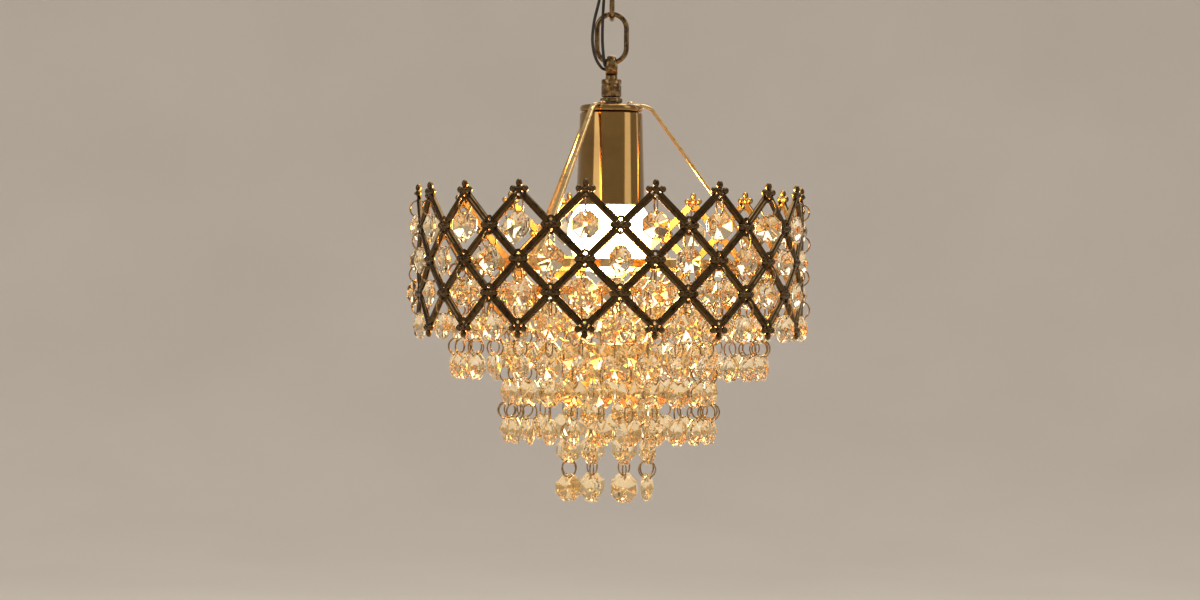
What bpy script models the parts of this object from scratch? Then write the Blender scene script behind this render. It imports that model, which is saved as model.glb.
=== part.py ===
"""Small brass and crystal pendant chandelier.

Metres, +Z up. The origin is the centre of the ceiling face of the bracket, and everything
hangs below it. The lamp is a drum of three staggered rows of 18 brass diamonds round a single
globe bulb, with three tiers of bead strings inside it.
An angle of 0 degrees points along -Y and grows towards +X.
Sizes are in mm. Heights are counted from a level near the middle of the drum, DROP below the
ceiling.
"""

import math
from collections import namedtuple

import bmesh
import bpy
from mathutils import Matrix, Vector

MM = 0.001
GAP = 0.3  # clearance between neighbouring pieces
DROP = 215.0  # height of the ceiling
ALONG_X = (1, 0)
ALONG_Y = (0, 1)

# ceiling end
BRACKET = (56.0, 14.0, 2.0)
CANOPY_R = 33.0
CANOPY_SCREW_Z = 208.5
CANOPY_SCREW_HOLE_R = 1.8
CANOPY_STEM_R = 4.6
CORD_BORE_R = 1.7  # bore through both loops

# chain: two links at right angles between the canopy's eye and the lamp's
WIRE = 1.2
LINK_HALF_W = 7.65
LINK_PITCH = 25.3
LINK_LOW = 131.8
LINK_GAP = 2 * WIRE + GAP
LOWER_TOP = LINK_LOW + LINK_PITCH
UPPER_LOW = LOWER_TOP - LINK_GAP
UPPER_TOP = UPPER_LOW + LINK_PITCH
CANOPY_EYE_R = 6.0
CANOPY_EYE_Z = UPPER_TOP - LINK_GAP + CANOPY_EYE_R
LAMP_EYE_R = 4.6
LAMP_EYE_Z = LINK_LOW + LINK_GAP - LAMP_EYE_R
LAMP_EYE_BROAD = 2.65  # breadth of the lamp's eye over its wire
LAMP_EYE_BROAD_TOP = 2.1  # the same over the top
LAMP_EYE_TAPER = 3.4  # height above its centre over which it narrows
CABLE_R = 1.1

# cup, holder and bulb
CUP_TOP_R, CUP_LOW_R = 16.3, 18.0
CUP_TOP, CUP_LOW = 105.7, 57.0
CUP_WALL = 0.8
CAP_LOW, CAP_TOP = 106.0, 109.6
NIPPLE_R, NIPPLE_BORE = 3.6, 2.2
NIPPLE_LOW, NIPPLE_TOP = 102.0, 118.3
NIPPLE_HOLE = NIPPLE_R + GAP
GLOBE_R, GLOBE_Z = 22.0, 42.5
GLOBE_WALL = 0.8
GLOBE_NECK = ((7.4, 73.5), (8.2, 68.0))  # (radius, height)
GLOBE_START = 29  # degrees from the top where the ball leaves the neck
GLOBE_STEPS = 8
BULB_CAP_R = 6.7
BULB_Z = 72.0

# arms, with struts midway between them
ARM_ANGLES = (-27.0, 93.0, -147.0)
STRUT_ANGLES = [angle + 60.0 for angle in ARM_ANGLES]
ARM_W, ARM_T = 3.0, 2.0
ARM_SLOT = 108.0  # floor of the slots in the cap that hold the arms
ARM_Z = ARM_SLOT + GAP + ARM_T / 2
ARM_START_R = 4.3
ARM_BEND_START, ARM_BEND_R = 15.5, 9.0
ARM_BEND_STEP, ARM_BEND_COUNT = 13.45, 4  # degrees a step, steps
ARM_END = (77.95, 30.15)
ARM_SCREW_AT = 10.0  # radius at which the screws pass through the arms
ARM_HOLE_R = 1.0
ARM_HEAD_LOW = 110.6
STRAP_T = 1.2  # brackets and struts

# drum of diamonds
CROWN_N = 18
CROWN_CELL = 360.0 / CROWN_N
CROWN_R = 100.0
CROWN_TURN = -7.0
CROWN_TOP = 61.5
CROWN_STEP = 16.9
CROWN_LEVELS = 5
FINIAL = 5.7
BAR = 3.4

# crystals
BEAD_W = 13.6  # across flats
BEAD_HALF_T = 3.4
BEAD_PITCH = 19.4
LINK_T = 0.6  # half thickness of the links between crystals
THREAD_R = 0.5  # thin wire that joins neighbouring strings
HOOP_R = 97.5
HOOP_DROP = 0.2  # extra drop of every drum row below the first
CROWN_BEAD_HEAD = 5.2  # from a lattice level down to the head of its crystals
HANG = 1.2  # space between a ring and the tops of its strings

# tiers of bead strings; "first" is the angle of the first string, and
# "bead_z" the height of the highest bead's centre
Tier = namedtuple("Tier", "r low top ring_steps strings groups first bead_z beads label")
TIERS = (
    Tier(80.0, 23.9, 28.4, 48, 30, 5, 2.0, 12.1, 3, "strings"),
    Tier(53.5, 11.0, 15.0, 36, 24, 6, 11.0, -1.6, 4, "strings"),
    Tier(22.0, -19.0, -15.0, 18, 8, 8, 22.5, -31.6, 4, "string"),
)

LOOKS = {
    "brass": dict(colour=(0.72, 0.45, 0.17), rough=0.22, metal=1.0),
    "crystal": dict(colour=(0.95, 0.86, 0.70), rough=0.03, metal=0.0, alpha=0.5),
    "steel": dict(colour=(0.60, 0.58, 0.55), rough=0.35, metal=1.0),
    "ceramic": dict(colour=(0.90, 0.88, 0.84), rough=0.35, metal=0.0),
    "opal": dict(colour=(1.0, 0.95, 0.85), rough=0.3, metal=0.0, glow=2.0),
    "rubber": dict(colour=(0.02, 0.02, 0.02), rough=0.5, metal=0.0),
}

for old in list(bpy.data.objects):
    bpy.data.objects.remove(old, do_unlink=True)
parts = bpy.data.collections.new("chandelier")
cutters = bpy.data.collections.new("cutters")
bpy.context.scene.collection.children.link(parts)
bpy.context.scene.collection.children.link(cutters)


# ---------------------------------------------------------------- materials
def material(name, colour, rough, metal, alpha=1.0, glow=0.0):
    mat = bpy.data.materials.new(name)
    mat.use_nodes = True
    inputs = mat.node_tree.nodes["Principled BSDF"].inputs
    inputs["Base Color"].default_value = (*colour, 1.0)
    inputs["Roughness"].default_value = rough
    inputs["Metallic"].default_value = metal
    inputs["Alpha"].default_value = alpha
    if glow:
        inputs["Emission Color"].default_value = (*colour, 1.0)
        inputs["Emission Strength"].default_value = glow
    return mat


def look(ob, kind):
    """Give an object its own material of a kind."""
    ob.data.materials.clear()
    ob.data.materials.append(material(f"{ob.name}_{kind}", **LOOKS[kind]))


# ---------------------------------------------------------------- places
def height(z):
    return (z - DROP) * MM


def point(x, y, z):
    return Vector((x * MM, y * MM, height(z)))


def on_axis(z):
    return point(0, 0, z)


def at(r, angle, z):
    """A point r mm from the lamp's axis at an angle, at a height z."""
    a = math.radians(angle)
    return point(r * math.sin(a), -r * math.cos(a), z)


# ---------------------------------------------------------------- objects and meshes
def add(name, mesh, kind=None, cutter=False, origin=None):
    """A new object holding a mesh in world coordinates, with its origin moved to a point."""
    mesh.name = name
    if origin is not None:
        mesh.transform(Matrix.Translation(-origin))
    ob = bpy.data.objects.new(name, mesh)
    if origin is not None:
        ob.location = origin
    (cutters if cutter else parts).objects.link(ob)
    if cutter:
        ob.hide_render = True
        ob.display_type = "WIRE"
    if kind:
        look(ob, kind)
    return ob


def to_mesh(bm, sharp_angle=None):
    """Turn a bmesh into a mesh, smooth up to an angle in degrees if one is given."""
    bmesh.ops.recalc_face_normals(bm, faces=bm.faces)
    mesh = bpy.data.meshes.new("mesh")
    bm.to_mesh(mesh)
    bm.free()
    if sharp_angle is not None:
        mesh.shade_smooth()
        mesh.set_sharp_from_angle(angle=math.radians(sharp_angle))
    return mesh


def evaluated(ob):
    """The mesh an object's modifiers give, in world coordinates, welded."""
    depsgraph = bpy.context.evaluated_depsgraph_get()
    depsgraph.update()
    mesh = bpy.data.meshes.new_from_object(ob.evaluated_get(depsgraph))
    mesh.transform(ob.matrix_world)
    bm = bmesh.new()
    bm.from_mesh(mesh)
    bmesh.ops.remove_doubles(bm, verts=bm.verts, dist=1e-6)
    mesh.clear_geometry()
    bm.to_mesh(mesh)
    bm.free()
    return mesh


def boolean(ob, other, operation):
    mod = ob.modifiers.new(operation.title(), "BOOLEAN")
    mod.operation = operation
    mod.object = other
    mod.solver = "EXACT"


def cut(ob, cutter_name, mesh):
    boolean(ob, add(cutter_name, mesh, cutter=True), "DIFFERENCE")


def union_of(name, shapes, kind, origin):
    """One solid from several meshes, each of which does not meet itself."""
    base = add(name, shapes[0], kind)
    helpers = [base]
    for k, mesh in enumerate(shapes[1:], 1):
        other = add(f"{name}_join_{k}", mesh, cutter=True)
        boolean(base, other, "UNION")
        helpers.append(other)
    joined = evaluated(base)
    bm = bmesh.new()
    bm.from_mesh(joined)
    bmesh.ops.dissolve_limit(
        bm, angle_limit=math.radians(0.3), verts=bm.verts, edges=bm.edges
    )
    bmesh.ops.triangulate(bm, faces=[f for f in bm.faces if len(f.verts) > 4])
    bm.to_mesh(joined)
    bm.free()
    for helper in helpers:
        bpy.data.objects.remove(helper, do_unlink=True)
    return add(name, joined, kind, origin=origin)


# ---------------------------------------------------------------- basic shapes
def add_rod(bm, start, end, r, segments=12):
    """A closed cylinder of radius r mm between two points."""
    run = end - start
    turn = run.to_track_quat("Z", "Y").to_matrix().to_4x4()
    bmesh.ops.create_cone(
        bm,
        cap_ends=True,
        segments=segments,
        radius1=r * MM,
        radius2=r * MM,
        depth=run.length,
        matrix=Matrix.Translation((start + end) / 2) @ turn,
    )


def add_block(bm, centre, size, turn=0.0):
    matrix = (
        Matrix.Translation(centre)
        @ Matrix.Rotation(math.radians(turn), 4, "Z")
        @ Matrix.Diagonal((size[0] * MM, size[1] * MM, size[2] * MM, 1.0))
    )
    bmesh.ops.create_cube(bm, size=1.0, matrix=matrix)


def rods(ends, r, segments=12):
    """A mesh of cylinders, one for each (start, end) pair."""
    bm = bmesh.new()
    for start, end in ends:
        add_rod(bm, start, end, r, segments)
    return to_mesh(bm)


def axis_rod(low, high, r, segments=12):
    return rods([(on_axis(low), on_axis(high))], r, segments)


def turned(name, profile, kind, steps, origin=None):
    """A turned piece from a closed run of (radius, height), down the outside and up the inside.

    Edges that would lie along the axis are left out."""
    bm = bmesh.new()
    verts = [bm.verts.new((r * MM, 0.0, height(z))) for r, z in profile]
    for k, vert in enumerate(verts):
        following = (k + 1) % len(verts)
        if profile[k][0] > 0 or profile[following][0] > 0:
            bm.edges.new((vert, verts[following]))
    ob = add(name, to_mesh(bm), kind, origin=origin)
    mod = ob.modifiers.new("Screw", "SCREW")
    mod.axis = "Z"
    mod.steps = steps
    mod.render_steps = steps
    mod.use_merge_vertices = True
    mod.merge_threshold = 1e-6
    mod.use_smooth_shade = True
    return ob


def wire(points, r, cyclic=False, resolution=2):
    """A mesh tube of radius r mm along points."""
    curve = bpy.data.curves.new("wire_path", "CURVE")
    curve.dimensions = "3D"
    curve.bevel_depth = r * MM
    curve.bevel_resolution = resolution
    curve.use_fill_caps = not cyclic
    curve.render_resolution_u = 0
    spline = curve.splines.new("POLY")
    spline.points.add(len(points) - 1)
    for spline_point, place in zip(spline.points, points):
        spline_point.co = (*place, 1.0)
    spline.use_cyclic_u = cyclic
    path = bpy.data.objects.new("wire_path", curve)
    cutters.objects.link(path)
    bm = bmesh.new()
    bm.from_mesh(evaluated(path))
    bpy.data.objects.remove(path, do_unlink=True)
    return to_mesh(bm, sharp_angle=50)


def eye(z, r, across):
    """A wire ring standing upright in the plane of a level direction."""
    count = 12
    points = []
    for k in range(count):
        a = 2 * math.pi * k / count
        u = r * math.cos(a)
        points.append(point(u * across[0], u * across[1], z + r * math.sin(a)))
    return wire(points, WIRE, cyclic=True)


def hex_nut(name, low, high, r, bore_name, bore):
    """A steel nut; the bore is (low, high, radius, segments)."""
    nut = add(name, axis_rod(low, high, r, 6), "steel")
    cut(nut, bore_name, axis_rod(*bore))


def strap(name, path, width, thick, angle, origin):
    """A flat strap bent along (radius, height) points in the upright plane at an angle."""
    count = len(path)
    upper, lower = [], []
    for k, (r, z) in enumerate(path):
        before = Vector(path[max(0, k - 1)])
        after = Vector(path[min(count - 1, k + 1)])
        along = (after - before).normalized()
        normal = Vector((-along.y, along.x))
        for side, half in ((upper, 0.5), (lower, -0.5)):
            side.append((r + normal.x * thick * half, z + normal.y * thick * half))
    turn = Matrix.Rotation(math.radians(angle), 4, "Z")
    bm = bmesh.new()
    verts = [
        bm.verts.new(turn @ Vector((-width / 2 * MM, -r * MM, height(z))))
        for r, z in upper + lower[::-1]
    ]
    faces = [
        bm.faces.new(
            (verts[k], verts[k + 1], verts[2 * count - 2 - k], verts[2 * count - 1 - k])
        )
        for k in range(count - 1)
    ]
    extruded = bmesh.ops.extrude_face_region(bm, geom=faces)["geom"]
    moved = [e for e in extruded if isinstance(e, bmesh.types.BMVert)]
    bmesh.ops.translate(bm, verts=moved, vec=turn @ Vector((width * MM, 0, 0)))
    return add(name, to_mesh(bm), "brass", origin=origin)


# ---------------------------------------------------------------- ceiling end
def ceiling_bracket():
    """A plate with two tabs, two slots and a screw hole in each tab."""
    plate_z = DROP - BRACKET[2] / 2
    plate = bmesh.new()
    add_block(plate, on_axis(plate_z), BRACKET)
    tabs = bmesh.new()
    holes = bmesh.new()
    for side in (1, -1):
        add_block(tabs, point(side * 27.0, 0, 209.3), (2.0, 10.0, 9.0))
        add_rod(
            holes,
            point(side * 24.0, 0, CANOPY_SCREW_Z),
            point(side * 30.0, 0, CANOPY_SCREW_Z),
            CANOPY_SCREW_HOLE_R,
        )
        add_block(holes, point(side * 16.0, 0, plate_z), (7.0, 4.2, 6.0))
    shapes = [to_mesh(plate), to_mesh(tabs)]
    bracket = union_of("ceiling_bracket", shapes, "steel", on_axis(DROP))
    cut(bracket, "bracket_cutter", to_mesh(holes))


def ceiling_canopy():
    profile = [
        (CANOPY_R, 214.7), (CANOPY_R, 206.5), (30.5, 202.2), (25.0, 199.2),
        (16.0, 197.4), (5.3, 197.0), (5.3, 198.2), (16.0, 198.6),
        (24.6, 200.4), (29.6, 203.2), (31.8, 206.9), (31.8, 214.7),
    ]
    canopy = turned("ceiling_canopy", profile, "brass", 22)
    ends = (point(-40, 0, CANOPY_SCREW_Z), point(40, 0, CANOPY_SCREW_Z))
    cut(canopy, "canopy_cutter", rods([ends], CANOPY_SCREW_HOLE_R))


def canopy_screws():
    """Head outside the canopy, shank through it into the bracket's tab."""
    head_x = 33.4
    for k, side in enumerate((1, -1), 1):

        def pin(start, end, r, segments):
            ends = [point(side * x, 0, CANOPY_SCREW_Z) for x in (start, end)]
            return rods([ends], r, segments)

        shapes = [pin(head_x, 35.6, 3.2, 16), pin(25.0, 34.0, 1.45, 12)]
        origin = point(side * head_x, 0, CANOPY_SCREW_Z)
        union_of(f"canopy_screw_{k}", shapes, "brass", origin)


def canopy_loop():
    """The eye under the canopy, on a bored stem held by a nut."""
    shapes = [
        eye(CANOPY_EYE_Z, CANOPY_EYE_R, ALONG_X),
        axis_rod(188.4, 206, CANOPY_STEM_R, 24),
    ]
    loop = union_of("canopy_loop", shapes, "brass", on_axis(CANOPY_EYE_Z))
    cut(loop, "loop_bore", axis_rod(186.6, 207, CORD_BORE_R))
    bore = (198, 203.4, CANOPY_STEM_R + GAP, 24)
    hex_nut("canopy_nut", 198.9, 202.4, 8.2, "nut_bore", bore)


# ---------------------------------------------------------------- chain and cable
def chain_link(name, low, across, pivot_z):
    """A stadium-shaped link standing upright, its lower wire centre at a height."""
    steps = 6
    points = []
    for centre_z, start in (
        (low + LINK_PITCH - LINK_HALF_W, 0),
        (low + LINK_HALF_W, math.pi),
    ):
        for k in range(steps + 1):
            a = math.pi * k / steps + start
            u = LINK_HALF_W * math.cos(a)
            z = centre_z + LINK_HALF_W * math.sin(a)
            points.append(point(u * across[0], u * across[1], z))
    add(name, wire(points, WIRE, cyclic=True), "brass", origin=on_axis(pivot_z))


def power_cable():
    # (x, y, height) down from the canopy, round the chain and into the lamp
    route = (
        (0, 0, 210.5), (0, 0, 189.0), (0, -0.5, 187.0), (-0.6, -2.6, 184.9),
        (-2.2, -5.2, 181.6), (-4.2, -6.4, 176.0), (-5.5, -5.2, 164.0), (-7.0, -4.6, 153.0),
        (-7.5, -4.4, 143.0), (-6.0, -3.6, 134.5), (-4.2, -2.0, 129.4), (-2.4, -0.8, 128.6),
        (-0.8, -0.1, 127.9), (-0.1, 0, 126.4), (0, 0, 124.8), (0, 0, 104.2),
    )
    mesh = wire([point(*place) for place in route], CABLE_R)
    add("power_cable", mesh, "rubber", origin=on_axis(LINK_LOW))


# ---------------------------------------------------------------- suspension and cup
def suspension_loop():
    """A cast ring, broad along X and thinner over the top where the link passes through."""
    ring = eye(LAMP_EYE_Z, LAMP_EYE_R, ALONG_Y)
    for v in ring.vertices:
        up = (v.co.z / MM - (LAMP_EYE_Z - DROP)) / LAMP_EYE_TAPER
        up = min(1.0, max(0.0, up))
        v.co.x *= LAMP_EYE_BROAD - (LAMP_EYE_BROAD - LAMP_EYE_BROAD_TOP) * up
    shapes = [ring, axis_rod(118.9, 125.6, 3.1, 16)]
    loop = union_of("suspension_loop", shapes, "brass", on_axis(LINK_LOW))
    cut(loop, "suspension_bore", axis_rod(118, 127.2, CORD_BORE_R))


def collar_and_nipple():
    collar = [
        (4.6, 123.0), (5.25, 122.4), (5.25, 114.1), (4.8, 113.5),
        (NIPPLE_HOLE, 113.5), (NIPPLE_HOLE, 118.6), (3.45, 118.6), (3.45, 123.0),
    ]
    turned("loop_collar", collar, "brass", 16)
    flange = [
        (5.2, 113.2), (5.9, 112.6), (5.9, 111.2), (5.3, 110.6),
        (NIPPLE_HOLE, 110.6), (NIPPLE_HOLE, 113.2),
    ]
    turned("collar_flange", flange, "brass", 16)
    nipple = [
        (NIPPLE_R, NIPPLE_TOP), (NIPPLE_R, NIPPLE_LOW),
        (NIPPLE_BORE, NIPPLE_LOW), (NIPPLE_BORE, NIPPLE_TOP),
    ]
    turned("threaded_nipple", nipple, "steel", 16)
    bore = (102, 105.5, NIPPLE_HOLE, 16)
    hex_nut("nipple_nut", 102.9, 104.6, 6.5, "nipple_nut_bore", bore)


def cup_cap():
    """The disc on top of the cup, with a slot and a screw hole for each arm."""
    profile = [
        (15.9, CAP_TOP), (CUP_TOP_R, 109.1), (CUP_TOP_R, CAP_LOW),
        (NIPPLE_HOLE, CAP_LOW), (NIPPLE_HOLE, CAP_TOP),
    ]
    cap = turned("cup_cap", profile, "brass", 24)
    ends = [(at(ARM_SCREW_AT, a, 105.0), at(ARM_SCREW_AT, a, 111)) for a in ARM_ANGLES]
    cut(cap, "cap_screw_holes", rods(ends, ARM_HOLE_R, 10))
    slot_size = (ARM_W + 2 * GAP, 15, 4)
    slots = bmesh.new()
    for angle in ARM_ANGLES:
        add_block(slots, at(10.5, angle, ARM_SLOT + slot_size[2] / 2), slot_size, angle)
    cut(cap, "cap_slots", to_mesh(slots))


def socket_cup():
    profile = [
        (CUP_TOP_R, CUP_TOP),
        (CUP_LOW_R, CUP_LOW),
        (CUP_LOW_R - CUP_WALL, CUP_LOW),
        (CUP_TOP_R - CUP_WALL, CUP_TOP - CUP_WALL),
        (NIPPLE_HOLE, CUP_TOP - CUP_WALL),
        (NIPPLE_HOLE, CUP_TOP),
    ]
    turned("socket_cup", profile, "brass", 24)


# ---------------------------------------------------------------- lamp holder and bulb
def lampholder():
    body = [
        (8.0, 102.6), (12.4, 101.2), (13.0, 99.5), (13.0, 78.0), (12.0, 74.0),
        (8.6, 74.0), (8.6, 99.0), (NIPPLE_HOLE, 99.0), (NIPPLE_HOLE, 102.6),
    ]
    turned("lampholder_body", body, "ceramic", 20)
    shell = [(8.3, 95.6), (8.3, 75.0), (7.3, 75.0), (7.3, 95.6)]
    turned("lampholder_shell", shell, "brass", 20)
    contact = [(0, 101.6), (1.9, 101.6), (1.9, 98.7), (3.2, 98.0), (3.2, 97.2), (0, 97.2)]
    turned("lampholder_contact", contact, "brass", 16)


def globe_side(inset):
    """The globe's outline from the neck down to the axis, moved in by an inset."""
    run = [(r - inset, z) for r, z in GLOBE_NECK]
    r = GLOBE_R - inset
    for k in range(GLOBE_STEPS):
        a = math.radians(GLOBE_START + (180 - GLOBE_START) * k / GLOBE_STEPS)
        run.append((r * math.sin(a), GLOBE_Z + r * math.cos(a)))
    return run + [(0.0, GLOBE_Z - r)]


def bulb():
    globe = globe_side(0.0) + globe_side(GLOBE_WALL)[::-1]
    turned("bulb_globe", globe, "opal", 18, on_axis(BULB_Z))
    cap = [
        (0, 96.6), (2.2, 96.6), (2.6, 95.8), (6.0, 94.4), (BULB_CAP_R, 93.4),
        (BULB_CAP_R, 76.5), (7.1, 75.4), (7.1, 73.8), (0, 73.8),
    ]
    turned("bulb_cap", cap, "steel", 16, on_axis(BULB_Z))


# ---------------------------------------------------------------- arms, struts and rings
def arms():
    path = [(ARM_START_R, ARM_Z)]
    for k in range(ARM_BEND_COUNT + 1):
        a = math.radians(ARM_BEND_STEP * k)
        path.append(
            (
                ARM_BEND_START + ARM_BEND_R * math.sin(a),
                ARM_Z - ARM_BEND_R + ARM_BEND_R * math.cos(a),
            )
        )
    path.append(ARM_END)
    hole_reach = 4
    for k, angle in enumerate(ARM_ANGLES, 1):
        arm = strap(f"arm_{k}", path, ARM_W, ARM_T, angle, at(ARM_START_R, angle, ARM_Z))
        ends = [at(ARM_SCREW_AT, angle, ARM_Z + s * hole_reach) for s in (-1, 1)]
        cut(arm, f"arm_{k}_hole", rods([ends], ARM_HOLE_R, 10))


def arm_screws():
    for k, angle in enumerate(ARM_ANGLES, 1):
        origin = at(ARM_SCREW_AT, angle, ARM_HEAD_LOW)
        head = rods([(origin, at(ARM_SCREW_AT, angle, 111.5))], 1.7, 12)
        shank_ends = [at(ARM_SCREW_AT, angle, z) for z in (106.6, 111.0)]
        shapes = [head, rods([shank_ends], 0.7, 8)]
        union_of(f"arm_screw_{k}", shapes, "brass", origin)


def crown_brackets():
    path = [(79.2, 29.5), (96.6, 29.5), (97.6, 29.2)]
    for k, angle in enumerate(ARM_ANGLES, 1):
        strap(f"crown_bracket_{k}", path, 4.0, STRAP_T, angle, at(80, angle, 29.5))


def tier_struts():
    path = [
        (79.0, 29.4), (75.0, 29.3), (58.0, 17.2), (55.0, 16.2),
        (50.0, 15.9), (26.0, -12.4), (23.6, -14.0), (21.0, -14.0),
    ]
    start_r, start_z = path[0]
    for k, angle in enumerate(STRUT_ANGLES, 1):
        strap(f"tier_strut_{k}", path, 3.0, STRAP_T, angle, at(start_r, angle, start_z))


def tier_rings():
    half_wall = 0.6
    for number, tier in enumerate(TIERS, 1):
        outer, inner = tier.r + half_wall, tier.r - half_wall
        profile = [(outer, tier.top), (outer, tier.low), (inner, tier.low), (inner, tier.top)]
        turned(f"tier_{number}_ring", profile, "brass", tier.ring_steps)


# ---------------------------------------------------------------- drum of diamonds
def crown_angles(level):
    """Angles round the drum at a level; odd levels start half a cell on."""
    start = CROWN_TURN + (CROWN_CELL / 2 if level % 2 else 0.0)
    return [start + CROWN_CELL * k for k in range(CROWN_N)]


def crown_level_z(level):
    return CROWN_TOP - CROWN_STEP * level


def crown_bars():
    """The diamonds' edges as bars."""
    bm = bmesh.new()
    levels = [
        [bm.verts.new(at(CROWN_R, angle, crown_level_z(n))) for angle in crown_angles(n)]
        for n in range(CROWN_LEVELS)
    ]
    for n in range(CROWN_LEVELS - 2):
        for k in range(CROWN_N):
            # the neighbours one level down, which lie half a cell to either side
            before, after = (k - 1, k) if n % 2 == 0 else (k, k + 1)
            bm.faces.new(
                (
                    levels[n][k],
                    levels[n + 1][before % CROWN_N],
                    levels[n + 2][k],
                    levels[n + 1][after % CROWN_N],
                )
            )
    grid = add("crown_lattice_grid", to_mesh(bm), cutter=True)
    mod = grid.modifiers.new("Wireframe", "WIREFRAME")
    mod.thickness = BAR * MM
    mod.use_boundary = True
    mod.use_replace = True
    mod.use_even_offset = True
    mod.use_relative_offset = False
    bars = evaluated(grid)
    bpy.data.objects.remove(grid, do_unlink=True)
    return bars


def crown_lattice():
    """The bars with short four-sided finials on the top and bottom points."""
    root = 1.0  # how far a finial starts inside the lattice
    shapes = [crown_bars()]
    for level, way in ((0, 1), (CROWN_LEVELS - 1, -1)):
        z = crown_level_z(level)
        ends = [
            (at(CROWN_R, a, z - way * root), at(CROWN_R, a, z + way * FINIAL))
            for a in crown_angles(level)
        ]
        shapes.append(rods(ends, BAR / 2, 4))
    middle = on_axis(crown_level_z(CROWN_LEVELS // 2))
    union_of("crown_lattice", shapes, "brass", middle)


# ---------------------------------------------------------------- crystals
def add_beads(bm, r, angle, centres, head):
    """A string of eight-sided crystals facing an angle, its top at the height of its head.

    Each crystal is two low pyramids base to base. Its top edge, and its bottom edge unless it
    is the last, open into flat links, whose section is a thin diamond."""
    turn = Matrix.Rotation(math.radians(angle), 4, "Z")
    half = BEAD_W / 2
    half_edge = half * math.tan(math.pi / 8)

    def vert(u, out, z):
        return bm.verts.new(turn @ Vector((u * MM, -(r + out) * MM, height(z))))

    def section(half_w, z):
        corners = ((-half_w, 0), (0, LINK_T), (half_w, 0), (0, -LINK_T))
        return [vert(u, out, z) for u, out in corners]

    above = section(half_edge * 0.8, head)
    bm.faces.new(above)
    for n, z in enumerate(centres):
        top = section(half_edge, z + half)
        for k in range(4):
            bm.faces.new((above[k], above[(k + 1) % 4], top[(k + 1) % 4], top[k]))
        if n == len(centres) - 1:
            low = [vert(-half_edge, 0, z - half), None, vert(half_edge, 0, z - half), None]
        else:
            low = section(half_edge, z - half)
        right = [vert(half, 0, z + half_edge), vert(half, 0, z - half_edge)]
        left = [vert(-half, 0, z - half_edge), vert(-half, 0, z + half_edge)]
        for side, mid in ((1, 1), (-1, 3)):
            tip = vert(0, side * BEAD_HALF_T, z)
            rim = [top[0], top[mid], top[2], *right, low[2]]
            if low[mid] is not None:
                rim.append(low[mid])
            rim += [low[0], *left]
            for start, end in zip(rim, rim[1:] + rim[:1]):
                bm.faces.new((tip, start, end))
        above = low


def crown_crystals():
    """Rows of single crystals in the drum, each row joined by a thin hoop."""
    for row in range(CROWN_LEVELS - 1):
        z = crown_level_z(row + 1) - (HOOP_DROP if row else 0.0)
        angles = crown_angles(row)
        hoop = wire([at(HOOP_R, a, z) for a in angles], THREAD_R, cyclic=True, resolution=0)
        bm = bmesh.new()
        for angle in angles:
            add_beads(bm, CROWN_R, angle, (z,), crown_level_z(row) - CROWN_BEAD_HEAD)
        name = f"crown_crystals_row_{row + 1}"
        union_of(name, [hoop, to_mesh(bm)], "crystal", on_axis(z))


def string_group(name, tier, angles, mid):
    """Neighbouring bead strings of one tier, joined at the top by a thin wire.

    The group's origin lies at the mean place of its strings, just under the ring."""
    pivot_r = tier.r * sum(math.cos(math.radians(a - mid)) for a in angles) / len(angles)
    centres = [tier.bead_z - BEAD_PITCH * k for k in range(tier.beads)]
    head = tier.low - HANG
    shapes = []
    if len(angles) > 1:
        shapes.append(wire([at(tier.r, a, head - 1.0) for a in angles], THREAD_R, resolution=0))
    bm = bmesh.new()
    for angle in angles:
        add_beads(bm, tier.r, angle, centres, head)
    shapes.append(to_mesh(bm))
    union_of(name, shapes, "crystal", at(pivot_r, mid, tier.low - HANG / 2))


def tier_strings():
    for number, tier in enumerate(TIERS, 1):
        spacing = 360.0 / tier.strings
        size = tier.strings // tier.groups
        for group in range(tier.groups):
            start = tier.first + spacing * size * group
            angles = [start + spacing * k for k in range(size)]
            mid = start + spacing * (size - 1) / 2
            string_group(f"tier_{number}_{tier.label}_{group + 1}", tier, angles, mid)


ceiling_bracket()
ceiling_canopy()
canopy_screws()
canopy_loop()
chain_link("chain_link_upper", UPPER_LOW, ALONG_Y, UPPER_TOP - LINK_GAP)
chain_link("chain_link_lower", LINK_LOW, ALONG_X, UPPER_LOW)
power_cable()
suspension_loop()
collar_and_nipple()
cup_cap()
socket_cup()
lampholder()
bulb()
arms()
arm_screws()
crown_brackets()
tier_struts()
tier_rings()
crown_lattice()
crown_crystals()
tier_strings()
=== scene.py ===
"""Looks of a small brass and crystal pendant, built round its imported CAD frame.

The pendant hangs down the Z axis from a ceiling at z = 0: a canopy, two chain links and a twin
flex, a cup with its bulb, a brass lattice drum and three tiers of crystal strings inside it.
Its front faces -Y. Sizes are in millimetres. Heights count from a datum 215 mm under the ceiling.
Angles are in degrees round Z, from the front (-Y) towards +X.
"""

import math
import random
from types import SimpleNamespace

import bpy
import bmesh
from mathutils import Matrix, Vector


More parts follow.
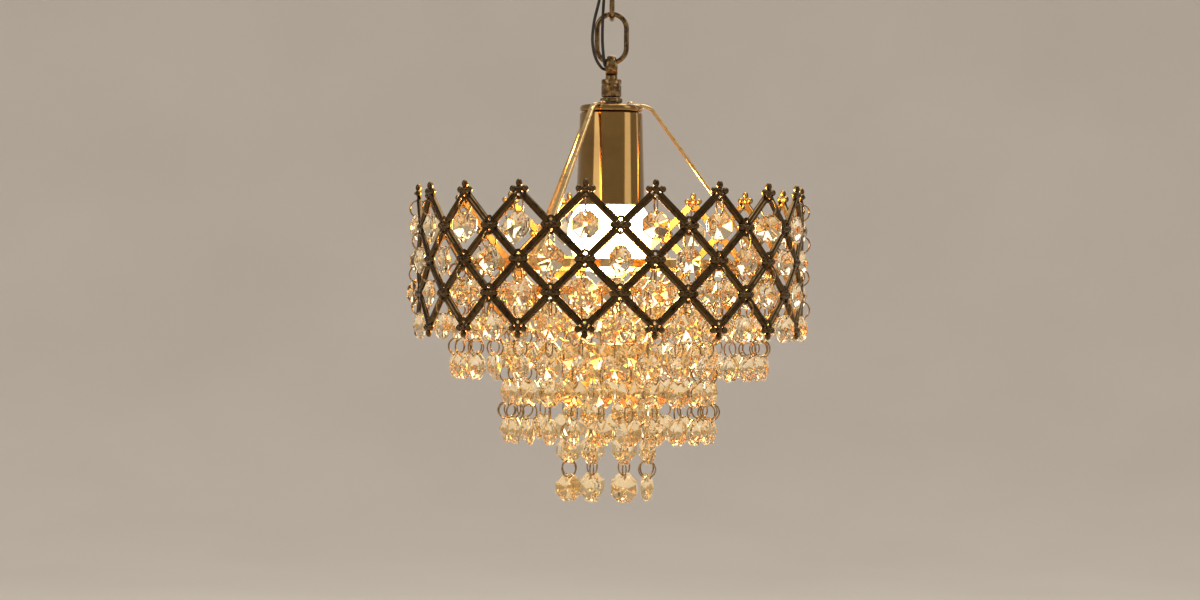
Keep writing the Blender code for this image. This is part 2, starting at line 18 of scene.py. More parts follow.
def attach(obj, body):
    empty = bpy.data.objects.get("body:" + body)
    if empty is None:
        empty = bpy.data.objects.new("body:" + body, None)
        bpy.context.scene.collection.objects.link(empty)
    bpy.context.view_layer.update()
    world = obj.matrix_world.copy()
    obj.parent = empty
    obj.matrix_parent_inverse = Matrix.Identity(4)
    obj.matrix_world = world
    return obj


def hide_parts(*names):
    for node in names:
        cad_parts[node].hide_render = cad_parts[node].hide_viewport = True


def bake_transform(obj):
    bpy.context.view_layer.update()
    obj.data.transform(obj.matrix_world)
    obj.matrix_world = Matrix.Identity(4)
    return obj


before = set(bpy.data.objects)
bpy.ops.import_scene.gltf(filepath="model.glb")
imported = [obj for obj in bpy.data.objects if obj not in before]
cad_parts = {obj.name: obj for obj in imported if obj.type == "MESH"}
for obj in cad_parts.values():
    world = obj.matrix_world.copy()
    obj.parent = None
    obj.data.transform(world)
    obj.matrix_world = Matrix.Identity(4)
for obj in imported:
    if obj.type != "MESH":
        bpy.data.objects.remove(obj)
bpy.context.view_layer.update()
rng = random.Random(41)
scene = bpy.context.scene

# ------------------------------------------------------------------ shared sizes
MM = 0.001
DROP = 215.0  # from the ceiling down to the datum

EYE_WIRE_R = 1.2
LINK_OVERLAP = 2.7  # how far each link reaches into its neighbour
LINK_LOW = 131.8
LINK_LENGTH = 25.3
LINK_BEND_R = 7.65
LINK_WIRE_R = 1.32
UPPER_LINK_LOW = LINK_LOW + LINK_LENGTH - LINK_OVERLAP
UPPER_LINK_TOP = UPPER_LINK_LOW + LINK_LENGTH
LAMP_EYE_R = 4.6
LAMP_EYE_Z = LINK_LOW + LINK_OVERLAP - LAMP_EYE_R
CANOPY_EYE_R = 6.0
CANOPY_EYE_Z = UPPER_LINK_TOP - LINK_OVERLAP + CANOPY_EYE_R

DRUM_COLUMNS = 18
DRUM_PITCH = 360.0 / DRUM_COLUMNS
DRUM_R = 100.0
DRUM_TURN = -7.0
DRUM_TOP = 61.5
DRUM_STEP = 16.9
CORNER_ROWS = 5

ARM_ANGLES = (-27.0, 93.0, -147.0)
STRUT_ANGLES = [angle + 60.0 for angle in ARM_ANGLES]

BEAD_WIDTH = 13.7
BEAD_HOLE = 5.35  # from a crystal's middle to each of its holes
JUMP_R = 4.4
JUMP_WIRE_R = 0.40
STRING_STEP = 19.4  # from one crystal to the next down a string


def tier(top_bead, beads, first_angle, pitch, groups, per_group, **sizes):
    """A ring of strings: heights of the crystals, angles of the strings, sizes of the band."""
    return SimpleNamespace(
        centres=[top_bead - STRING_STEP * k for k in range(beads)],
        angles=[first_angle + pitch * k for k in range(groups * per_group)],
        groups=groups, per_group=per_group, **sizes,
    )


# low, high: edges of the band; stretch: height of its holes over their width;
# edge_on: the share of crystals turned well aside
TIERS = {
    1: tier(
        12.1, beads=3, first_angle=2.0, pitch=12.0, groups=5, per_group=6, radius=80.0,
        low=23.9, high=28.4, sides=180, hole_r=1.08, stretch=1.5, edge_on=0.12,
    ),
    2: tier(
        -1.6, beads=4, first_angle=11.0, pitch=15.0, groups=6, per_group=4, radius=53.5,
        low=11.0, high=15.0, sides=144, hole_r=0.88, stretch=1.12, edge_on=0.10,
    ),
    3: tier(
        -31.6, beads=4, first_angle=22.5, pitch=45.0, groups=8, per_group=1, radius=22.0,
        low=-19.0, high=-15.0, sides=96, hole_r=0.85, stretch=1.0, edge_on=0.18,
    ),
}


def height(z):
    return (z - DROP) * MM


def polar(radius, angle, z, side=0.0):
    """The place at a radius, angle and height, moved sideways along the tangent."""
    a = math.radians(angle)
    return Vector(
        (
            (radius * math.sin(a) + side * math.cos(a)) * MM,
            (-radius * math.cos(a) + side * math.sin(a)) * MM,
            height(z),
        )
    )


def facing(angle, yaw=0.0):
    """A turn that carries local -Y to a direction at an angle, and +X to its tangent."""
    return Matrix.Rotation(math.radians(angle + yaw), 4, "Z")


# ------------------------------------------------------------------ shader helpers
def new_material(name):
    material = bpy.data.materials.new(name)
    material.use_nodes = True
    tree = material.node_tree
    return material, tree, tree.nodes["Principled BSDF"]


def feed(tree, socket, value):
    """Links a socket to another, or sets it to a plain value."""
    if isinstance(value, bpy.types.NodeSocket):
        tree.links.new(value, socket)
    else:
        socket.default_value = value


def source_of(socket):
    return socket.links[0].from_socket


def ramp(tree, source, stops):
    node = tree.nodes.new("ShaderNodeValToRGB")
    elements = node.color_ramp.elements
    while len(elements) > 1:
        elements.remove(elements[-1])
    elements[0].position = stops[0][0]
    elements[0].color = (*stops[0][1], 1.0)
    for position, colour in stops[1:]:
        elements.new(position).color = (*colour, 1.0)
    tree.links.new(source, node.inputs["Fac"])
    return node.outputs["Color"]


def spread(tree, source, low, high, from_low=0.3, from_high=0.7):
    """Maps a range of the source, by default the middle of a noise, onto low to high."""
    node = tree.nodes.new("ShaderNodeMapRange")
    node.inputs["From Min"].default_value = from_low
    node.inputs["From Max"].default_value = from_high
    node.inputs["To Min"].default_value = low
    node.inputs["To Max"].default_value = high
    tree.links.new(source, node.inputs["Value"])
    return node.outputs["Result"]


def noise(tree, scale, detail=4.0, rough=0.55, stretch=(1.0, 1.0, 1.0), shift=0.0):
    coords = tree.nodes.new("ShaderNodeTexCoord")
    mapping = tree.nodes.new("ShaderNodeMapping")
    mapping.inputs["Scale"].default_value = stretch
    mapping.inputs["Location"].default_value = (shift, shift, shift)
    tree.links.new(coords.outputs["Object"], mapping.inputs["Vector"])
    node = tree.nodes.new("ShaderNodeTexNoise")
    node.inputs["Scale"].default_value = scale
    node.inputs["Detail"].default_value = detail
    node.inputs["Roughness"].default_value = rough
    tree.links.new(mapping.outputs["Vector"], node.inputs["Vector"])
    return node.outputs["Fac"]


def bump(tree, shader, source, strength, distance):
    node = tree.nodes.new("ShaderNodeBump")
    node.inputs["Strength"].default_value = strength
    node.inputs["Distance"].default_value = distance
    tree.links.new(source, node.inputs["Height"])
    tree.links.new(node.outputs["Normal"], shader.inputs["Normal"])


def mix(tree, kind, factor, first, second, blend="MIX"):
    node = tree.nodes.new("ShaderNodeMix")
    node.data_type = kind
    node.blend_type = blend
    feed(tree, node.inputs["Factor"], factor)
    feed(tree, node.inputs["A"], first)
    feed(tree, node.inputs["B"], second)
    return node.outputs["Result"]


def vector_math(tree, operation, first):
    node = tree.nodes.new("ShaderNodeVectorMath")
    node.operation = operation
    tree.links.new(first, node.inputs[0])
    return node


# ------------------------------------------------------------------ brass
def brass(name, bright, dull, dark, smooth, grain=(1.0, 1.0, 1.0), patina=0.35, coat=0.25):
    """Lacquered brass: a warm base, broad duller patches, darker specks, fine polishing lines.

    smooth is the range of roughness, grain scales the lines per axis, patina widens the specks.
    """
    material, tree, shader = new_material(name)
    shader.inputs["Metallic"].default_value = 1.0
    broad = noise(tree, scale=38.0, detail=5.0, rough=0.6)
    fine = noise(tree, scale=420.0, detail=6.0, rough=0.65, shift=3.1)
    tone = ramp(tree, broad, [(0.30, dull), (0.52, bright), (0.78, bright)])
    clear = (1, 1, 1)
    specks = ramp(tree, fine, [(0.0, dark), (patina, dark), (patina + 0.14, clear), (1.0, clear)])
    colour = mix(tree, "RGBA", factor=0.75, first=tone, second=specks, blend="MULTIPLY")
    tree.links.new(colour, shader.inputs["Base Color"])
    tree.links.new(spread(tree, broad, *smooth), shader.inputs["Roughness"])
    lines = noise(tree, scale=900.0, detail=3.0, rough=0.6, stretch=grain, shift=7.7)
    bump(tree, shader, lines, strength=0.10, distance=0.00005)
    shader.inputs["Coat Weight"].default_value = coat
    shader.inputs["Coat Roughness"].default_value = 0.06
    return material


def drum_brass_painted_light_and_shade():
    """Cast brass of the drum, polished: near black outside as painted shade of a backlit frame, and
    paler where it faces in towards the bulb as painted light, duller there too.
    """
    # painted shade: these near-black colours stand in for a backlit frame, not for darker metal
    material = brass(
        "drum_brass_painted_light_and_shade", bright=(0.105, 0.064, 0.026), dull=(0.062, 0.038, 0.016),
        dark=(0.032, 0.020, 0.010), smooth=(0.05, 0.15), coat=0.06,
    )
    tree = material.node_tree
    shader = tree.nodes["Principled BSDF"]
    geometry = tree.nodes.new("ShaderNodeNewGeometry")
    coords = tree.nodes.new("ShaderNodeTexCoord")
    to_axis = vector_math(tree, "MULTIPLY", coords.outputs["Object"])
    to_axis.inputs[1].default_value = (-1.0, -1.0, 0.0)
    unit = vector_math(tree, "NORMALIZE", to_axis.outputs["Vector"])
    dot = vector_math(tree, "DOT_PRODUCT", unit.outputs["Vector"])
    tree.links.new(geometry.outputs["Normal"], dot.inputs[1])
    inward = spread(tree, dot.outputs["Value"], low=0.0, high=1.0, from_low=-0.1, from_high=0.5)
    # painted light: a paler gold on the faces turned in, as if lit by the bulb
    painted_bulb_light = ramp(
        tree, noise(tree, scale=160.0, detail=5.0, rough=0.6, shift=5.5),
        [(0.3, (0.46, 0.275, 0.080)), (0.7, (0.72, 0.46, 0.145))],
    )
    for name, kind, inner in (("Base Color", "RGBA", painted_bulb_light), ("Roughness", "FLOAT", 0.36)):
        socket = shader.inputs[name]
        result = mix(tree, kind, factor=inward, first=source_of(socket), second=inner)
        tree.links.new(result, socket)
    return material


FINE_ACROSS_Z = (1.0, 1.0, 14.0)  # lines that run round a turned piece

BRASS_DRUM_PAINTED_LIGHT_AND_SHADE = drum_brass_painted_light_and_shade()
# painted shade: the cup and its cover are brass darkened to stand in for the dark surroundings they
# reflect
BRASS_CUP_PAINTED_SHADE = brass(
    "spun_brass_painted_shade", bright=(0.34, 0.21, 0.07), dull=(0.26, 0.155, 0.052), dark=(0.21, 0.13, 0.055),
    smooth=(0.04, 0.12), grain=FINE_ACROSS_Z, patina=0.22,
)
BRASS_CANOPY = brass(
    "polished_brass", bright=(0.74, 0.49, 0.19), dull=(0.60, 0.39, 0.15),
    dark=(0.46, 0.31, 0.15), smooth=(0.06, 0.18), grain=FINE_ACROSS_Z, patina=0.24,
)
BRASS_STRAP = brass(
    "rolled_brass", bright=(0.86, 0.60, 0.27), dull=(0.70, 0.46, 0.19), dark=(0.50, 0.34, 0.17),
    smooth=(0.10, 0.24), grain=(1.0, 1.0, 0.1),
)
BRASS_WIRE = brass(
    "brass_wire", bright=(0.85, 0.61, 0.30), dull=(0.70, 0.48, 0.22), dark=(0.50, 0.34, 0.18),
    smooth=(0.10, 0.22),
)
# painted shade: the jump rings are brass darkened to stand in for the dark surroundings they reflect
BRASS_RING_PAINTED_SHADE = brass(
    "jump_ring_brass_painted_shade", bright=(0.40, 0.26, 0.10), dull=(0.30, 0.19, 0.075),
    dark=(0.18, 0.11, 0.05), smooth=(0.08, 0.20),
)
# painted shade: the links, eyes, collar and flange are brass darkened to stand in for their dark,
# backlit look
BRASS_CHAIN_PAINTED_SHADE = brass(
    "chain_brass_painted_shade", bright=(0.30, 0.19, 0.08), dull=(0.18, 0.11, 0.05), dark=(0.09, 0.055, 0.03),
    smooth=(0.14, 0.34), patina=0.42,
)


# ------------------------------------------------------------------ glass
def crystal(name, tint_and_bulb_glow, shift):
    """Cut lead glass: clear, high index, facets not quite flat; its warm tint is partly the glass's
    own and partly painted light for the warm bulb.
    """
    material, tree, shader = new_material(name)
    shader.inputs["Transmission Weight"].default_value = 1.0
    shader.inputs["IOR"].default_value = 1.59
    shade = noise(tree, scale=55.0, detail=2.0, rough=0.5, shift=shift)
    light = tuple(min(1.0, c * 1.02) for c in tint_and_bulb_glow)
    deep = (tint_and_bulb_glow[0] * 0.98, tint_and_bulb_glow[1] * 0.95, tint_and_bulb_glow[2] * 0.88)
    colour = ramp(tree, shade, [(0.35, deep), (0.65, light)])
    tree.links.new(colour, shader.inputs["Base Color"])
    haze = noise(tree, scale=300.0, detail=4.0, rough=0.6, shift=shift + 2)
    tree.links.new(spread(tree, haze, low=0.0, high=0.012), shader.inputs["Roughness"])
    waves = noise(tree, scale=200.0, detail=1.0, rough=0.5, shift=shift + 5)
    bump(tree, shader, waves, strength=0.03, distance=0.0001)
    return material


def opal():
    """Opal glass of the lit bulb: it glows unevenly, and warmer towards its edge."""
    material, tree, shader = new_material("lit_opal_glass")
    weight = tree.nodes.new("ShaderNodeLayerWeight")
    weight.inputs["Blend"].default_value = 0.35
    glow = ramp(
        tree, weight.outputs["Facing"],
        [(0.0, (1.0, 0.52, 0.175)), (0.75, (1.0, 0.47, 0.14)), (1.0, (1.0, 0.38, 0.085))],
    )
    tree.links.new(glow, shader.inputs["Emission Color"])
    mottled = noise(tree, scale=90.0, detail=3.0, rough=0.5)
    power = spread(tree, mottled, low=82.0, high=100.0)
    tree.links.new(power, shader.inputs["Emission Strength"])
    shader.inputs["Base Color"].default_value = (0.96, 0.92, 0.84, 1.0)
    tree.links.new(spread(tree, mottled, low=0.16, high=0.28), shader.inputs["Roughness"])
    shader.inputs["Coat Weight"].default_value = 0.4
    return material


# painted light in part: the amber tints stand partly for the bulb's warm light, and the inner tiers
# get a deeper copy of it
CRYSTAL = crystal("cut_crystal", tint_and_bulb_glow=(1.0, 0.85, 0.60), shift=0.0)
CRYSTAL_DEEP = crystal("cut_crystal_inner", tint_and_bulb_glow=(1.0, 0.83, 0.55), shift=4.0)
OPAL = opal()


# ------------------------------------------------------------------ steel, ceramic, flex
def plain(name, low, high, rough, metal=0.0, scale=120.0, rise=0.00008, coat=0.0):
    """A mottle between two colours, with a range of roughness and a fine relief of height rise."""
    material, tree, shader = new_material(name)
    shader.inputs["Metallic"].default_value = metal
    shader.inputs["Coat Weight"].default_value = coat
    mottle = noise(tree, scale, detail=5.0, rough=0.6)
    colour = ramp(tree, mottle, [(0.35, low), (0.65, high)])
    tree.links.new(colour, shader.inputs["Base Color"])
    tree.links.new(spread(tree, mottle, *rough), shader.inputs["Roughness"])
    relief = noise(tree, scale * 4, detail=4.0, rough=0.6, shift=2.3)
    bump(tree, shader, relief, strength=0.25, distance=rise)
    return material


STEEL = plain(
    "zinc_plated_steel", low=(0.50, 0.49, 0.46), high=(0.68, 0.66, 0.60), rough=(0.22, 0.42),
    metal=1.0,
)
CERAMIC = plain(
    "glazed_ceramic", low=(0.80, 0.77, 0.70), high=(0.90, 0.88, 0.82), rough=(0.10, 0.24),
    scale=60.0, rise=0.00005, coat=0.5,
)
FLEX = plain(
    "flex_sheath", low=(0.012, 0.010, 0.009), high=(0.032, 0.026, 0.022), rough=(0.30, 0.48),
    scale=240.0, rise=0.00012,
)
THREAD = plain(
    "nickel_thread", low=(0.60, 0.57, 0.50), high=(0.76, 0.73, 0.66), rough=(0.16, 0.30),
    metal=1.0, scale=200.0, rise=0.00004,
)


# ------------------------------------------------------------------ objects; a shape is (verts, faces)
def mesh_object(name, shape):
    verts, faces = shape
    mesh = bpy.data.meshes.new(name)
    mesh.from_pydata([tuple(v) for v in verts], [], faces)
    ob = bpy.data.objects.new(name, mesh)
    scene.collection.objects.link(ob)
    return ob


def put(name, shape, material, body="lamp", slot="brass", cad=None, smooth=32):
    ob = mesh_object(name, shape)
    mesh = ob.data
    mesh.validate()
    mesh.materials.append(material)
    if smooth:
        mesh.shade_smooth()
        mesh.set_sharp_from_angle(angle=math.radians(smooth))
    else:
        mesh.shade_flat()
    if body:
        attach(ob, body)
    if cad:
        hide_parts(cad)
    return ob


class Soup:
    """Vertices and faces gathered from many small shapes."""

    def __init__(self):
        self.verts = []
        self.faces = []

    def add(self, shape, matrix=Matrix.Identity(4)):
        verts, faces = shape
        start = len(self.verts)
        self.verts += [matrix @ Vector(v) for v in verts]
        self.faces += [tuple(i + start for i in face) for face in faces]

    def put(self, name, material, **how):
        return put(name, (self.verts, self.faces), material, **how)


def weld(ob):
    """Joins coincident vertices and turns the faces outward."""
    bm = bmesh.new()
    bm.from_mesh(ob.data)
    bmesh.ops.remove_doubles(bm, verts=bm.verts, dist=1e-6)
    bmesh.ops.recalc_face_normals(bm, faces=bm.faces)
    bm.to_mesh(ob.data)
    bm.free()
    return ob


def cut(ob, shapes):
    """Cuts the shapes out of a piece, for good."""
    soup = Soup()
    for shape in shapes:
        soup.add(shape)
    cutter = weld(mesh_object("cutter", (soup.verts, soup.faces)))
    cutter_mesh = cutter.data
    modifier = ob.modifiers.new("cut", "BOOLEAN")
    modifier.operation = "DIFFERENCE"
    modifier.object = cutter
    modifier.solver = "EXACT"
    depsgraph = bpy.context.evaluated_depsgraph_get()
    depsgraph.update()
    result = bpy.data.meshes.new_from_object(ob.evaluated_get(depsgraph))
    ob.modifiers.clear()
    old = ob.data
    ob.data = result
    result.name = ob.name
    bpy.data.meshes.remove(old)
    bpy.data.objects.remove(cutter, do_unlink=True)
    bpy.data.meshes.remove(cutter_mesh)


# ------------------------------------------------------------------ shapes
def from_bmesh(bm):
    bmesh.ops.recalc_face_normals(bm, faces=bm.faces)
    bm.verts.index_update()
    shape = [v.co.copy() for v in bm.verts], [tuple(v.index for v in f.verts) for f in bm.faces]
    bm.free()
    return shape


def ball(radius, across, up, scale=(1, 1, 1)):
    """A sphere of across by up segments, scaled per axis."""
    bm = bmesh.new()
    bmesh.ops.create_uvsphere(
        bm, u_segments=across, v_segments=up, radius=radius * MM,
        matrix=Matrix.Diagonal((*scale, 1)),
    )
    return from_bmesh(bm)


def rod(start, end, radius, sides=12):
    run = end - start
    turn = run.to_track_quat("Z", "Y").to_matrix().to_4x4()
    bm = bmesh.new()
    bmesh.ops.create_cone(
        bm, cap_ends=True, segments=sides, radius1=radius * MM, radius2=radius * MM,
        depth=run.length, matrix=Matrix.Translation((start + end) / 2) @ turn,
    )
    return from_bmesh(bm)


def slab(centre, size, turn):
    """A box; at a turn equal to its angle, its local Y lies along the radius."""
    bm = bmesh.new()
    matrix = (
        Matrix.Translation(centre)
        @ Matrix.Rotation(math.radians(turn), 4, "Z")
        @ Matrix.Diagonal((size[0] * MM, size[1] * MM, size[2] * MM, 1.0))
    )
    bmesh.ops.create_cube(bm, size=1.0, matrix=matrix)
    return from_bmesh(bm)


def torus(major, minor, n, m):
    """A ring in the XZ plane, n segments round and m round its wire."""
    verts, faces = [], []
    for i in range(n):
        a = 2 * math.pi * i / n
        i2 = (i + 1) % n
        for j in range(m):
            b = 2 * math.pi * j / m
            j2 = (j + 1) % m
            r = major + minor * math.cos(b)
            y = minor * math.sin(b) * MM
            verts.append(Vector((r * math.cos(a) * MM, y, r * math.sin(a) * MM)))
            faces.append((i2 * m + j, i2 * m + j2, i * m + j2, i * m + j))
    return verts, faces


def lathe(profile, n, closed=True):
    """A shape turned about Z from an outline of (radius, height)."""
    verts, faces = [], []
    m = len(profile)
    for i in range(n):
        a = 2 * math.pi * i / n
        verts += [
            Vector((r * math.cos(a) * MM, r * math.sin(a) * MM, height(z))) for r, z in profile
        ]
    for i in range(n):
        j = (i + 1) % n
        for q in range(m if closed else m - 1):
            w = (q + 1) % m
            on_axis = profile[q][0] < 1e-6 and profile[w][0] < 1e-6
            if not on_axis:
                faces.append((i * m + q, i * m + w, j * m + w, j * m + q))
    return verts, faces


def turned(name, profile, material, sides=96, closed=True, **how):
    return weld(put(name, lathe(profile, sides, closed), material, **how))


def open_turn_faces(n, m):
    """Faces between n copies of an open outline of m points."""
    return [
        (i * m + q, (i + 1) % n * m + q, (i + 1) % n * m + q + 1, i * m + q + 1)
        for i in range(n)
        for q in range(m - 1)
    ]


def sweep(points, section, side=None, cyclic=False):
    """A section of (across, up) mm swept along points, with ends capped unless cyclic.

    side is the fixed across direction, or None for a rolling frame.
    """
    verts, faces = [], []
    n, m = len(points), len(section)
    rolling = None
    for i in range(n):
        before = points[i - 1] if (i or cyclic) else points[0]
        after = points[(i + 1) % n] if (i < n - 1 or cyclic) else points[-1]
        along = (after - before).normalized()
        across = side
        if side is None:
            if rolling is None:
                rolling = Vector((1, 0, 0)) if abs(along.x) < 0.8 else Vector((0, 1, 0))
            rolling = (rolling - along * rolling.dot(along)).normalized()
            across = rolling
        up = along.cross(across).normalized()
        verts += [points[i] + across * (u * MM) + up * (w * MM) for u, w in section]
    for i in range(n if cyclic else n - 1):
        j = (i + 1) % n
        for q in range(m):
            w = (q + 1) % m
            faces.append((i * m + q, i * m + w, j * m + w, j * m + q))
    if not cyclic:
        faces.append(tuple(range(m))[::-1])
        faces.append(tuple((n - 1) * m + q for q in range(m)))
    return verts, faces


def circle(radius, n):
    angles = [2 * math.pi * k / n for k in range(n)]
    return [(radius * math.cos(a), radius * math.sin(a)) for a in angles]


def rounded(width, thick, corner):
    """A rectangular section with rounded corners."""
    section = []
    for x, y, start in ((1, 1, 0), (-1, 1, 90), (-1, -1, 180), (1, -1, 270)):
        for step in (0, 30, 60, 90):
            a = math.radians(start + step)
            section.append(
                (
                    x * (width / 2 - corner) + corner * math.cos(a),
                    y * (thick / 2 - corner) + corner * math.sin(a),
                )
            )
    return section


def fair(points, steps):
    """A smooth run (Catmull-Rom) through points."""
    n = len(points)
    run = []
    for i in range(n - 1):
        p = [points[min(max(i + k, 0), n - 1)] for k in (-1, 0, 1, 2)]
        for s in range(steps):
            t = s / steps
            run.append(
                0.5
                * (
                    2 * p[1]
                    + (p[2] - p[0]) * t
                    + (2 * p[0] - 5 * p[1] + 4 * p[2] - p[3]) * t * t
                    + (3 * p[1] - p[0] - 3 * p[2] + p[3]) * t**3
                )
            )
    run.append(points[-1])
    return run


# ------------------------------------------------------------------ ceiling canopy
# outlines throughout are (radius, height)
CANOPY = [
    (33.0, 214.7), (33.0, 207.4), (32.5, 205.2), (31.2, 202.9), (28.6, 201.0), (25.0, 199.7),
    (24.4, 199.9), (23.6, 199.1), (16.0, 197.6), (9.0, 197.05), (8.2, 196.2), (7.4, 194.4),
    (6.6, 193.9), (4.8, 193.9), (4.8, 198.2), (16.0, 198.6), (24.6, 200.4), (29.6, 203.2),
    (31.8, 206.9), (31.8, 214.7),
]
turned("canopy_shell", CANOPY, BRASS_CANOPY, 128, body="canopy", cad="ceiling_canopy")

# (radius, distance out from the pendant's axis), from the head in to the end of the shank
THUMBSCREW = [
    (0.0, 36.0), (1.6, 36.0), (2.6, 35.7), (3.1, 35.2), (3.2, 34.2), (3.0, 33.6), (1.4, 33.4),
    (1.4, 25.0), (0.0, 25.0),
]
THUMBSCREW_Z = 208.5
THUMBSCREW_SIDES = 40


def thumbscrew(direction):
    """A screw along X whose head is ribbed: every other column stands out by 4 %."""
    verts = []
    for i in range(THUMBSCREW_SIDES):
        a = 2 * math.pi * i / THUMBSCREW_SIDES
        for q, (radius, x) in enumerate(THUMBSCREW):
            r = radius * (1.04 if i % 2 and 2 <= q <= 5 else 1.0)
            z = height(THUMBSCREW_Z) + r * math.sin(a) * MM
            verts.append(Vector((direction * x * MM, r * math.cos(a) * MM, z)))
    return verts, open_turn_faces(THUMBSCREW_SIDES, len(THUMBSCREW))


for n, direction in enumerate((1, -1), 1):
    weld(
        put(
            f"canopy_thumbscrew_{n}", thumbscrew(direction), BRASS_STRAP, body="canopy",
            cad=f"canopy_screw_{n}", smooth=28,
        )
    )

CANOPY_STEM = [
    (1.7, 187.6), (2.6, 188.3), (3.3, 189.6), (4.3, 191.2), (4.6, 193.0), (4.6, 206), (1.7, 206),
]
canopy_eye = Soup()
canopy_eye.add(
    torus(CANOPY_EYE_R, EYE_WIRE_R, 64, 14), Matrix.Translation((0, 0, height(CANOPY_EYE_Z)))
)
canopy_eye.add(lathe(CANOPY_STEM, 48))
weld(canopy_eye.put("canopy_eye", BRASS_CHAIN_PAINTED_SHADE, body="canopy", cad="canopy_loop"))


# ------------------------------------------------------------------ chain links
def link(low, across):
    """An oblong wire loop, with a thin ring round the butt joint where the wire's ends meet."""
    points = []
    for centre, start in ((low + LINK_LENGTH - LINK_BEND_R, 0), (low + LINK_BEND_R, math.pi)):
        for k in range(25):
            a = math.pi * k / 24 + start
            u = LINK_BEND_R * math.cos(a)
            z = height(centre + LINK_BEND_R * math.sin(a))
            points.append(Vector((u * across[0] * MM, u * across[1] * MM, z)))
    side = Vector((-across[1], across[0], 0))
    soup = Soup()
    soup.add(sweep(points, circle(LINK_WIRE_R, 16), side=side, cyclic=True))
    joint = (
        LINK_BEND_R * across[0] * MM, LINK_BEND_R * across[1] * MM, height(low + LINK_LENGTH / 2)
    )
    turn = Matrix.Rotation(math.radians(90), 4, "X")
    soup.add(torus(1.24, 0.14, 24, 6), Matrix.Translation(joint) @ turn)
    return soup


for place, low, across in (("upper", UPPER_LINK_LOW, (0, 1)), ("lower", LINK_LOW, (1, 0))):
    piece = link(low, across)
    weld(
        piece.put(f"link_{place}", BRASS_CHAIN_PAINTED_SHADE, body=f"{place}_link", cad=f"chain_link_{place}")
    )

# ------------------------------------------------------------------ twin flex
# middle of the pair (x, y, z), then the way from it to one core; the other core is opposite
FLEX_RUN = (
    (0, 0, 206.0, 0.8, 0, 0), (0, 0, 196.0, 0.5, 0.62, 0),
    (0, 0, 189.0, -0.1, 0.8, 0), (0, -0.5, 187.0, -0.6, 0.5, 0),
    (-0.6, -2.6, 184.9, -0.8, 0.1, 0), (-2.2, -5.2, 181.6, -0.85, 0.2, 0),
    (-4.2, -6.2, 176.0, -0.9, 0.2, 0), (-5.5, -5.2, 164.0, -1.2, 0.2, 0),
    (-7.0, -4.6, 153.0, -2.2, -0.3, 0), (-7.45, -4.4, 143.0, -2.6, -0.3, 0),
    (-6.4, -3.7, 134.6, -2.2, -0.3, 0), (-4.4, -2.2, 129.7, -1.0, 0.3, -0.5),
    (-2.4, -0.8, 128.7, -0.2, 0.1, -0.78), (-0.8, -0.1, 127.8, -0.6, 0.0, -0.5),
    (-0.1, 0, 126.2, -0.78, -0.1, 0), (0, 0, 124.8, -0.8, 0, 0),
    (0, 0, 116.0, -0.3, -0.74, 0), (0, 0, 104.2, 0.8, 0, 0),
)
CORE_R = 0.78
# three pieces of flex: name, lowest and highest z in metres (+-1 is no limit),
# the bodies above and below, heights where the blend starts and ends
FLEX_PIECES = (
    ("flex_top", height(163.5), 1.0, "canopy", "upper_link", 186, 168),
    ("flex_middle", height(142.0), height(163.5), "upper_link", "lower_link", 162.5, 146),
    ("flex_low", -1.0, height(142.0), "lower_link", "lamp", 141, 128.5),
)
middle_run = fair([Vector((x * MM, y * MM, height(z))) for x, y, z, *_ in FLEX_RUN], 8)
core_offsets = fair([Vector(row[3:]) * MM for row in FLEX_RUN], 8)
cores = [
    [p + o for p, o in zip(middle_run, core_offsets)],
    [p - o for p, o in zip(middle_run, core_offsets)],
]
for name, lowest, highest, above, below, start, end in FLEX_PIECES:
    inside = [i for i, p in enumerate(middle_run) if lowest <= p.z <= highest]
    first = max(inside[0] - 1, 0)
    last = min(inside[-1] + 1, len(middle_run) - 1)
    soup = Soup()
    for core in cores:
        soup.add(sweep(core[first : last + 1], circle(CORE_R, 12)))
    ob = soup.put(name, FLEX, body=None, slot=None, smooth=50)
    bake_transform(ob)
    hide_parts("power_cable")

# ------------------------------------------------------------------ lamp eye and neck
LAMP_STEM = [(1.7, 119), (3.1, 119), (3.1, 124.4), (2.95, 125.4), (2.4, 126.2), (1.7, 126.45)]


def lamp_eye():
    """A ring in the YZ plane, its wire broadened along X, a little less so in its upper half."""
    verts, faces = torus(LAMP_EYE_R, EYE_WIRE_R, 72, 18)
    broad = []
    for v in verts:
        rise = min(1.0, max(0.0, v.z / (3.4 * MM)))
        broad.append(Vector((-v.y * (2.65 - 0.55 * rise), v.x, v.z)))
    soup = Soup()
    soup.add((broad, faces), Matrix.Translation((0, 0, height(LAMP_EYE_Z))))
    soup.add(lathe(LAMP_STEM, 48))
    return soup


weld(lamp_eye().put("lamp_eye", BRASS_CHAIN_PAINTED_SHADE, cad="suspension_loop"))

COLLAR = [
    (3.9, 118.6), (3.9, 113.55), (4.6, 113.55), (5.0, 113.8), (5.25, 114.3), (5.25, 119.6),
    (5.0, 119.9), (5.0, 120.3), (5.25, 120.6), (5.25, 122.4), (5.0, 122.9), (4.6, 123.1),
    (3.7, 123.1), (3.45, 122.9), (3.45, 118.6),
]
FLANGE = [
    (3.9, 113.2), (5.2, 113.2), (5.7, 112.95), (5.9, 112.4), (5.9, 111.4), (5.7, 110.85),
    (5.2, 110.6), (3.9, 110.6),
]
turned("neck_collar", COLLAR, BRASS_CHAIN_PAINTED_SHADE, 64, cad="loop_collar")
turned("neck_flange", FLANGE, BRASS_CHAIN_PAINTED_SHADE, 64, cad="collar_flange")

